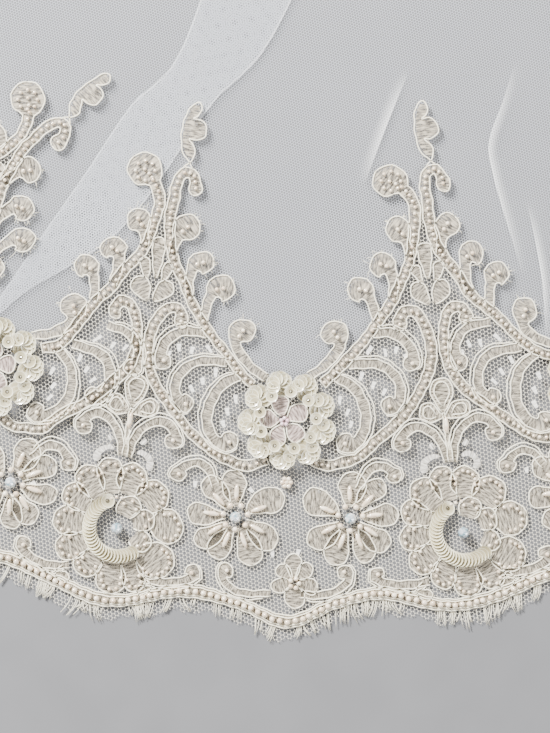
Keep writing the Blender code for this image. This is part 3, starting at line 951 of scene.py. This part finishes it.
# Painted shade and highlight: each sequin's colour is darkened round its hole and in its cup as a painted
# shade, and left at its full tone on the rim as a painted highlight
PAINTED_SHADE_AND_RIM_HIGHLIGHT = (
    (0.3, (0.10, 0.09, 0.07)), (0.36, (0.55, 0.52, 0.44)), (0.82, (0.62, 0.59, 0.50)), (0.93, (1, 1, 1)),
)
tree = sequin_finish.node_tree
base_colour = tree.nodes["Principled BSDF"].inputs["Base Color"]
reach = node(tree, "SeparateXYZ", "X", {0: node(tree, "TexCoord", "UV", {})})
painted_shade_ramp = node(tree, "ValToRGB", "Color", {"Fac": reach})
for position, tone in PAINTED_SHADE_AND_RIM_HIGHLIGHT:
    painted_shade_ramp.node.color_ramp.elements.new(position).color = (*tone, 1)
painted_shade_ramp.node.color_ramp.elements.remove(painted_shade_ramp.node.color_ramp.elements[0])
# The painted shade and rim highlight multiply the sequin's own drifting tone
painted_shade_mix = tree.nodes.new("ShaderNodeMix")
painted_shade_mix.data_type = "RGBA"
painted_shade_mix.blend_type = "MULTIPLY"
painted_shade_mix.inputs["Factor"].default_value = 1.0
tree.links.new(base_colour.links[0].from_socket, painted_shade_mix.inputs["A"])
tree.links.new(painted_shade_ramp, painted_shade_mix.inputs["B"])
tree.links.new(painted_shade_mix.outputs["Result"], base_colour)
angle = np.radians(np.linspace(122, 312, 29))
places = [around(*rose, 0.4 + 11.4 * math.cos(a), -0.6 + 11.4 * math.sin(a)) for a in angle]
places = np.stack(places, axis=1) + (0, 0, 1.9 * MM)
headings = (rose_turn[:, None] + angle - math.pi / 2).ravel()
sequins_piece(
    "rose_sequins", places.reshape(-1, 3), np.full(headings.size, SEQUIN),
    np.full(headings.size, math.radians(27)), headings,
)


# The star flowers: two beside each valley axis, of eight long petals with an oat-shaped
# pearl at the root of each, a ring of larger pearls and a crystal in the middle.
# Columns: angle in degrees, length and radius of the round end in mm, and swing: the
# degrees that the middle of the petal is turned by
STAR_PETALS = (
    (88, 18.6, 5.2, 6), (134, 19.4, 4.4, -9), (172, 18.8, 4.2, 4), (212, 18.8, 4.6, 8),
    (248, 18.6, 4.6, -6), (290, 20.0, 4.9, 4), (332, 19.4, 5.2, -8), (20, 20.6, 5.4, 8),
)
PETAL_START = 4.5
OAT_LENGTH = 6.8 * MM
OAT = 1.05 * MM
RING_PEARL = 1.2 * MM
CRYSTAL = 2.4 * MM
CRYSTAL_TONES = ((0.22, 0.36, 0.42), (0.90, 0.90, 0.92))
star_turn = motif(axis_frames(peaks + sides / 2), 0, 0)[1]
star = (near(from_valley, 22.9 - 2.7 * sides, 41.0), star_turn)
stars = new_work()
oats = []
for angle, end, radius, swing in STAR_PETALS:
    # The two flowers of a pair face each other
    aim = np.where(sides > 0, angle, 180 - angle)
    middle = spoke(*star, aim + sides * swing, (PETAL_START + end) / 2)
    line = np.stack([spoke(*star, aim, PETAL_START), middle, spoke(*star, aim, end)], axis=1)
    sew_band(stars, line, 0.8, radius, end_round=radius, swell=True)
    oats.append((spoke(*star, aim, 9.8), star_turn + np.radians(aim)))
oats.append((around(*stalk, 0.0, -3.0), rose_turn + math.pi / 2))
ring = [spoke(*star, 12 + angle, 5.0) for angle in np.arange(7) * 360 / 7]
sewn_pieces("star", stars)
ring = np.concatenate(ring) + (0, 0, 1.1 * MM)
beads_piece("star_ring_pearls", ring, RING_PEARL, pearl_finish, 9, 6)


def oats_piece(name, centres, headings):
    """Oat pearls: unit balls drawn out along their headings."""
    points, triangles, quads = bead(7, 6)
    points = points[:, [2, 0, 1]] * (OAT_LENGTH / 2, OAT, OAT)
    vertices = turned_copies(points, centres, headings)
    faces = [copies(corners, len(centres), len(points)) for corners in (triangles, quads)]
    return mesh_piece(name, vertices.reshape(-1, 3), faces, pearl_finish, "lace_border")


oat_centres = np.concatenate([centres for centres, headings in oats]) + (0, 0, 0.9 * MM)
oats_piece("oat_pearls", oat_centres, np.concatenate([headings for centres, headings in oats]))
crystal_finish = toned("crystal", CRYSTAL_TONES, 0.05, 700, Metallic=0.3, Coat_Weight=1.0)
crystals = np.concatenate([star[0], around(*rose, 0.0, -1.0)]) + (0, 0, 1.5 * MM)
beads_piece("crystals", crystals, CRYSTAL, crystal_finish, 8, 5).data.shade_flat()


# The sequin flowers: one on each valley axis, nine fans of overlapped sequins with single
# ones between them, round a small corded flower with a pink beaded heart.
FANS = 9
FAN_SEQUINS = 7
FAN_RADIUS = 14.6
HEART_TONES = ((0.20, 0.14, 0.12), (0.60, 0.48, 0.42))
PINK_TONES = ((0.72, 0.46, 0.50), (0.88, 0.70, 0.72))
valley_axes = axis_frames(np.arange(1 - HALF_REPEATS, HALF_REPEATS, dtype=float))
flower_centre, flower_turn = motif(valley_axes, 0, 80)
# Columns: x, y, lift and radius in mm, tilt in degrees, and heading
fans = []
for k in range(FANS):
    out = math.radians(90 + 360 / FANS * (k + 0.35))
    for j in range(FAN_SEQUINS):
        way = out + math.radians(-150 + 42 * j)
        x = FAN_RADIUS * math.cos(out) + 2.5 * math.cos(way)
        y = FAN_RADIUS * math.sin(out) + 2.5 * math.sin(way)
        fans.append((x, y, 0.5 + 0.36 * j, 3.3 - 0.1 * j, 8, way - math.pi / 2))
    single = out + math.radians(20)
    fans.append((11.4 * math.cos(single), 11.4 * math.sin(single), 3.2, 2.5, 4, single))
x, y, lift, radius, tilt, heading = np.array(fans).T
places = [around(flower_centre, flower_turn, *place) for place in zip(x, y)]
places = np.stack(places, axis=1) + np.c_[x * 0, y * 0, lift * MM]
count = len(flower_centre)
sequins_piece(
    "flower_sequins", places.reshape(-1, 3), np.tile(radius * MM, count),
    np.radians(np.tile(tilt, count)), (flower_turn[:, None] + heading).ravel(),
)
heart = (around(flower_centre, flower_turn, -1.2, -0.6), flower_turn)
hearts = new_work()
for k in range(5):
    sew_petal(hearts, *heart, 100 + 72 * k, 2.0, 10.2, 0.6, 3.5, bend=0.3, lift=0.4)
sewn_pieces("heart", hearts, cloth_work("heart_work", HEART_TONES, 0.6, 1.0))
pink_finish = toned("pink_bead", PINK_TONES, 0.25, 500, Coat_Weight=0.8)
heart_places = [spoke(*heart, angle, 1.3) for angle in np.degrees((0.3, 1.5, 2.8, 4.0, 5.3))]
beads_piece("heart_beads", np.concatenate(heart_places) + (0, 0, 1.2 * MM), 0.95 * MM, pink_finish)


# The hem flowers and the knots: a small corded flower over each point of the hem, with a
# ring of pearls in its middle, and a knot of pearls sewn on under each sequin flower.
HEM_FLOWER_PETALS = (
    (92, 11.8, 3.4), (45, 9.8, 2.9), (135, 9.8, 2.9), (-12, 9.8, 3.1), (192, 9.8, 3.1), (-90, 9.8, 4.4),
)
KNOT_PEARL = 1.0 * MM
hem_flower = motif(valley_axes, 3.6, 14.8)
knot = motif(valley_axes, 0, 55.0)
hem_flowers = new_work()
for angle, end, radius in HEM_FLOWER_PETALS:
    sew_petal(hem_flowers, *hem_flower, angle, 1.2, end, 0.6, radius)
sewn_pieces("hem_flower", hem_flowers)
knot_places = [knot[0]] + [spoke(*knot, 60 * k, 1.7) for k in range(6)]
knot_places += [spoke(*hem_flower, 72 * k, 1.9) for k in range(5)]
beads_piece("knot_pearls", np.concatenate(knot_places) + (0, 0, 1.0 * MM), KNOT_PEARL, pearl_finish, 8, 5)


# The hem: a narrow band along the scallops with a row of larger pearls between cords, and
# below it the trimmed net with its eyelash threads.
HEM_PEARL = 1.2 * MM
HEM_PEARL_STEP = 3.0
FRINGE_LOW, FRINGE_TOP = -5.5, 0.8
BUNDLES, THREADS_EACH = 560, 4
THREAD_LEVEL = 0.8 * MM
hem_steps = np.linspace(-HALF_REPEATS, HALF_REPEATS, 2 * HALF_REPEATS * 120 + 1)


def hem_line(height):
    """The hem's scalloped line, moved up by a height in mm."""
    plan = veil_points(hem_steps, hem_heights(hem_steps) + height * MM)
    return np.c_[plan, np.full(len(plan), lace_level(0))][None]


def run_lengths(line):
    """How far along a line each of its points is."""
    return np.concatenate([[0], np.cumsum(np.linalg.norm(np.diff(line, axis=0), axis=-1))])


hem = new_work()
right, left = hand_made(hem_line(0.6)), hand_made(hem_line(5.2))
hem["cloth"].append(np.stack([right, (right + left) / 2, left], axis=2))
hem["runs"].append((run_lengths(right[0]), np.full(len(hem_steps), 2.2 * MM)))
hem["cords"] += [hand_made(hem_line(height)) for height in (0.5, 1.3, 4.4, 5.3)]
sewn_pieces("hem", hem)
line = hem_line(2.85)
steps = run_lengths(line[0])
pearls = hand_made(along_curve(line, steps, np.arange(1.0, steps[-1] / MM, HEM_PEARL_STEP) * MM))
beads_piece("hem_pearls", pearls.reshape(-1, 3) + (0, 0, 1.0 * MM), HEM_PEARL, pearl_finish, 8, 5)

fringe_low, fringe_top = hem_line(FRINGE_LOW), hem_line(FRINGE_TOP)
ragged = 0.8 + 0.8 * (1.2 * np.sin(hem_steps * 55) + 0.8 * np.sin(hem_steps * 171 + 2))
upward = (fringe_top - fringe_low)[0, :, :2] / (FRINGE_TOP - FRINGE_LOW)
fringe_low[0, :, :2] += upward * ragged[:, None]
strip = np.stack([fringe_low, fringe_top], axis=2) - (0, 0, 0.3 * MM)
fringe = mesh_piece(
    "fringe_net", strip.reshape(-1, 3), [grid_faces(len(hem_steps), 2)],
    bpy.data.materials["ground_net"], "hem_fringe",
)
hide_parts("hem_fringe")
rng = np.random.default_rng(7)
count = BUNDLES * THREADS_EACH
u = np.sort(rng.uniform(-HALF_REPEATS + 0.02, HALF_REPEATS - 0.02, BUNDLES))
u = np.repeat(u, THREADS_EACH)
u += rng.normal(0, 0.9, count) * MM / REPEAT
reach = np.repeat(rng.uniform(4.4, 8.6, BUNDLES), THREADS_EACH) * rng.uniform(0.8, 1, count)
lean = np.repeat(rng.normal(0, 1.3, BUNDLES), THREADS_EACH) + rng.normal(0, 0.15, count)
share = np.linspace(0, 1, 4)
repeats = u[:, None] + lean[:, None] * MM / REPEAT * share ** 2
heights = hem_heights(u)[:, None] + (FRINGE_TOP - reach[:, None] * share) * MM
threads = veil_points(repeats, heights)
threads = np.concatenate([threads, np.full(threads.shape[:2] + (1,), THREAD_LEVEL)], axis=-1)
mesh_piece("eyelash_threads", *tubes(threads, 0.15 * MM, sides=3), cord_finish, "hem_fringe")


# The gathers: two rows of running stitches draw the net in, and a satin ribbon folded
# over the edge and stitched through holds them together.
THREAD_TONES = ((0.80, 0.76, 0.68), (0.93, 0.90, 0.83))
SATIN_TONES = ((0.78, 0.73, 0.64), (0.92, 0.89, 0.82))
binding_low, binding_high = np.array(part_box("gather_binding"))
RIBBON_COLUMNS, RIBBON_ROWS = 185, 15
thread_finish = toned("sewing_thread", THREAD_TONES, 0.6, 1500, 0.1 * MM)
run, dip = np.array((0.55 * MM, 0, 0)), np.array((0, 0, 0.3 * MM))
stitches = []
for row, back in enumerate((2.5 * MM, 6.5 * MM)):
    across = np.linspace(-0.96, 0.96, 44) + 0.01 * row
    share = np.full_like(across, back / (gather_line - hem_low - EDGE_HEIGHT))
    spots = np.c_[net_plan(across, share), net_rise(across, share) + 0.15 * MM]
    stitch = [spots - run - dip, spots - run * 0.5, spots + run * 0.5, spots + run - dip]
    stitches.append(np.stack(stitch, axis=1))
stitches = tubes(np.concatenate(stitches), 0.2 * MM)
gather_stitches = mesh_piece("gather_stitches", *stitches, thread_finish, "tulle_body")

# The ribbon's section is half a rounded fold over the edge, rippled along its length
angle = np.linspace(0, math.pi, RIBBON_ROWS)
arch = np.sin(angle) ** 0.5
x = np.linspace(binding_low[0], binding_high[0], RIBBON_COLUMNS)
ripple = 0.14 * np.cos(2 * math.pi * x / (2.9 * MM)) + 0.10 * np.cos(2 * math.pi * x / (5.3 * MM) + 1)
y = (binding_low[1] + binding_high[1]) / 2 + (binding_high[1] - binding_low[1]) / 2 * np.cos(angle)
z = binding_high[2] * arch
rippled = z + (ripple[:, None] - 0.24) * MM * arch
ribbon = np.stack(np.broadcast_arrays(x[:, None], y[None], rippled), axis=-1)
index = np.arange(RIBBON_COLUMNS * RIBBON_ROWS).reshape(RIBBON_COLUMNS, RIBBON_ROWS)
ribbon_finish = toned(
    "satin_ribbon", SATIN_TONES, 0.34, 1.0, 0.06 * MM, (260, 5200, 900), Sheen_Weight=0.3, Anisotropic=0.5,
)
ribbon_binding = mesh_piece(
    "ribbon_binding", ribbon.reshape(-1, 3),
    [grid_faces(RIBBON_COLUMNS, RIBBON_ROWS), np.stack([index[0], index[-1, ::-1]])],
    ribbon_finish, "gather_binding",
)
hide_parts("gather_binding")
spots = np.linspace(binding_low[0] + 2 * MM, binding_high[0] - 2 * MM, 30)
along, up = np.array(((-0.7, 0, 0.7), (0.1, 0.2, 0.1))) * MM
stitches = np.stack(np.broadcast_arrays(spots[:, None] + along, y[2], z[2] + up), axis=-1)
ribbon_stitches = mesh_piece("ribbon_stitches", *tubes(stitches, 0.18 * MM), thread_finish, "gather_binding")


# The comb: a hair comb moulded in pearly plastic and sewn to the ribbon. Its solid has
# the right shape, so it stays and only gets its finish here.
COMB_TONES = ((0.82, 0.79, 0.72), (0.93, 0.92, 0.88))
comb_finish = toned(
    "pearly_plastic", COMB_TONES, 0.22, 60, 0.05 * MM, (1, 0.25, 1), Coat_Weight=0.6, Coat_Roughness=0.1,
)
comb = bpy.data.objects["comb"]
for material_slot in comb.material_slots:
    material_slot.material = comb_finish


# The floor, lights and camera: a pale matt floor, a soft key and fill lamp, and a camera
# straight above the middle of the hem.
FLOOR_TONES = ((0.155, 0.155, 0.16), (0.165, 0.165, 0.17))
VIEW_CENTRE = (middle_x - 5.2 * MM, hem_low + 101.2 * MM, 0.0)
VIEW_HEIGHT = 293 * MM
VIEW_TURN = 0.7
bpy.ops.mesh.primitive_plane_add(size=8, location=(0, 0, -0.0002))
floor = bpy.context.object
floor.name = "floor"
floor.data.materials.append(toned("floor_paint", FLOOR_TONES, 0.9, 40))


def softbox(name, location, target, size, power):
    """A square area light that faces the target."""
    lamp = bpy.data.lights.new(name, "AREA")
    lamp.size = size
    lamp.energy = power
    holder = bpy.data.objects.new(name, lamp)
    holder.location = location
    aim = np.array(target) - np.array(location)
    tilt = math.atan2(math.hypot(aim[0], aim[1]), -aim[2])
    holder.rotation_euler = (tilt, 0, math.atan2(aim[0], -aim[1]) + math.pi)
    bpy.context.collection.objects.link(holder)


camera = bpy.data.cameras.new("camera")
camera.lens = 85
camera.sensor_width = 36
camera_holder = bpy.data.objects.new("camera", camera)
distance = VIEW_HEIGHT * camera.lens / camera.sensor_width
camera_holder.location = (VIEW_CENTRE[0], VIEW_CENTRE[1], distance)
camera_holder.rotation_euler = (0, 0, math.radians(VIEW_TURN))
bpy.context.collection.objects.link(camera_holder)
bpy.context.scene.camera = camera_holder
softbox("key", (-1.0, 0.8, 1.0), VIEW_CENTRE, 0.45, 170)
softbox("fill", (1.2, -0.8, 1.6), VIEW_CENTRE, 1.2, 40)
world = bpy.data.worlds.new("studio")
bpy.context.scene.world = world
world.use_nodes = True
world.node_tree.nodes["Background"].inputs["Color"].default_value = (1, 1, 1, 1)
world.node_tree.nodes["Background"].inputs["Strength"].default_value = 0.6
